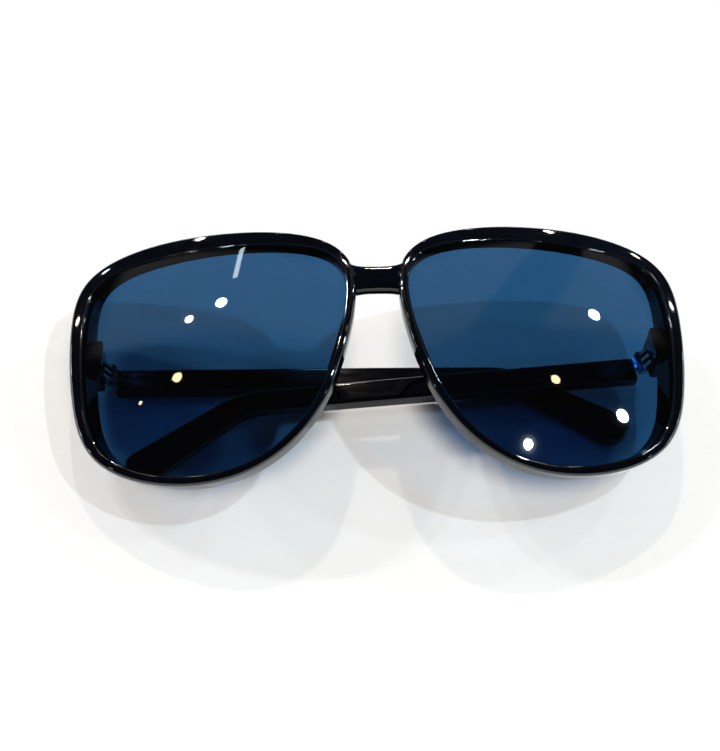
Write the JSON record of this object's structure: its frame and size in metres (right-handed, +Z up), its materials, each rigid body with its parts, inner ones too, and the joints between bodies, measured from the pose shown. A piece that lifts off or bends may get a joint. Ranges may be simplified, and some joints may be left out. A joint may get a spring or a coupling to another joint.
{
  "type": "sunglasses",
  "caption": "Oversized rounded full-rim sunglasses with tinted lenses, folded, temples turning on barrel hinges.",
  "frame": {"origin": "on the table, under the middle of the folded pair", "axes": "+X along the front towards the wearer's left, +Y towards the top of the front, +Z up from the table on which the right temple lies"},
  "size_m": [0.148, 0.066, 0.0351],
  "materials": {
    "frame_acetate": "polished black",
    "temple_acetate": "polished black",
    "tinted_lens": "polished, blue-grey tint",
    "hinge_metal": "satin, dark",
    "screw_steel": "satin",
    "core_wire": "drawn wire"
  },
  "bodies": {
    "front": {"front_frame": "frame_acetate", "right_lens": "tinted_lens", "left_lens": "tinted_lens", "right_nose_pad": "frame_acetate", "left_nose_pad": "frame_acetate", "right_front_leaf": "hinge_metal", "left_front_leaf": "hinge_metal", "right_hinge_screw": "screw_steel", "left_hinge_screw": "screw_steel"},
    "right_arm": {"right_temple": "temple_acetate", "right_temple_leaf": "hinge_metal", "right_core_wire": "core_wire"},
    "left_arm": {"left_temple": "temple_acetate", "left_temple_leaf": "hinge_metal", "left_core_wire": "core_wire"}
  },
  "joints": [
    {"name": "right_fold", "type": "hinge", "parent": "front", "child": "right_arm", "pos_m": [-0.0645, 0.00636, 0.005], "axis": [-0.0087, 1, 0], "range_deg": [0, 92]},
    {"name": "left_fold", "type": "hinge", "parent": "front", "child": "left_arm", "pos_m": [0.06504, 0.00636, 0.0089], "axis": [0.0958, -0.9954, 0], "range_deg": [0, 95.5]}
  ],
  "couplings": [
    {"joint": "left_fold", "follows": "right_fold", "ratio": 1.038}
  ]
}
